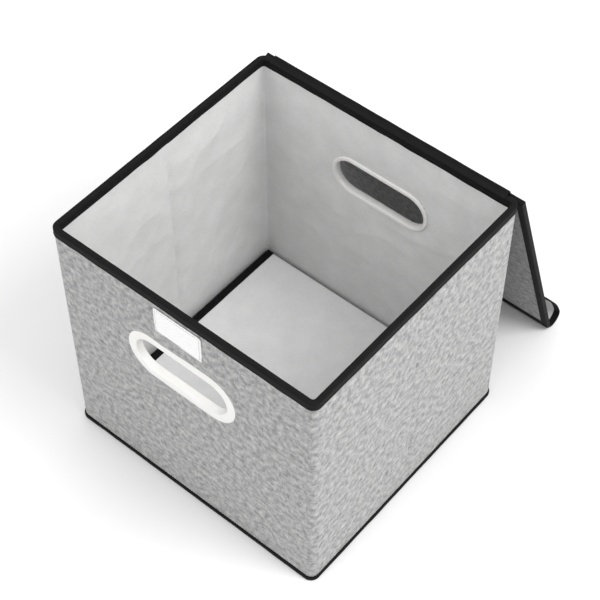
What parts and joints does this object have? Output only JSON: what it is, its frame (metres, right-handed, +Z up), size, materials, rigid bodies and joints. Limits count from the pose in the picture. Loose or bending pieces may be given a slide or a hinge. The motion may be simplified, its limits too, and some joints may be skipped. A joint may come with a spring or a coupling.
{
  "type": "fabric storage bin",
  "caption": "Square foldable fabric bin with bound edges, oval hand slots, a loose base board and a hinged lid that closes with a front flap.",
  "frame": {"origin": "middle of the bin's underside, on the ground", "axes": "+X along the front wall, +Y from the front wall to the back wall and the open lid, +Z up"},
  "size_m": [0.3332, 0.4516, 0.3212],
  "materials": {
    "outer_fabric": "heathered grey linen-look weave",
    "lining": "plain light grey non-woven lining",
    "base_fabric": "light grey woven sleeve",
    "bottom_fabric": "grey non-woven bottom cloth",
    "binding": "black folded binding tape",
    "stiffener_board": "plain grey-brown board",
    "grommet": "glossy white moulded plastic",
    "hook_and_loop": "white hook-and-loop tape"
  },
  "bodies": {
    "bin": {"bottom_cloth": "bottom_fabric", "bottom_piping": "binding", "rim_binding": "binding", "front_outer_fabric": "outer_fabric", "back_outer_fabric": "outer_fabric", "left_outer_fabric": "outer_fabric", "right_outer_fabric": "outer_fabric", "front_board": "stiffener_board", "back_board": "stiffener_board", "left_board_front": "stiffener_board", "left_board_rear": "stiffener_board", "right_board_front": "stiffener_board", "right_board_rear": "stiffener_board", "front_lining": "lining", "back_lining": "lining", "left_lining": "lining", "right_lining": "lining", "front_grommet": "grommet", "back_grommet": "grommet", "front_grommet_ring": "grommet", "back_grommet_ring": "grommet", "closure_loop_patch": "hook_and_loop", "lid_hinge_cloth": "binding"},
    "lid": {"lid_outer_fabric": "outer_fabric", "lid_board": "stiffener_board", "lid_lining": "lining", "lid_binding_left": "binding", "lid_binding_right": "binding", "flap_crease_cloth": "outer_fabric"},
    "lid_flap": {"flap_outer_fabric": "outer_fabric", "flap_lining": "lining", "flap_binding": "binding", "closure_hook_patch": "hook_and_loop"},
    "base_board": {"base_board_core": "stiffener_board", "base_board_sleeve": "base_fabric", "base_binding_left": "binding", "base_binding_right": "binding"}
  },
  "joints": [
    {"name": "lid_hinge", "type": "hinge", "parent": "bin", "child": "lid", "pos_m": [0, 0.16, 0.3207], "axis": [1, 0, 0], "range_deg": [0, 250.67], "deforming": ["lid_hinge_cloth"]},
    {"name": "flap_fold", "type": "hinge", "parent": "lid", "child": "lid_flap", "pos_m": [0, 0.29273, 0.01331], "axis": [1, 0, 0], "range_deg": [-104.5, 0], "deforming": ["flap_crease_cloth"]},
    {"name": "base_board_lift", "type": "slide", "parent": "bin", "child": "base_board", "axis": [0, 0, 1], "range_m": [0, 0.36]}
  ],
  "couplings": [
    {"joint": "flap_fold", "follows": "lid_hinge", "ratio": -0.41489}
  ]
}
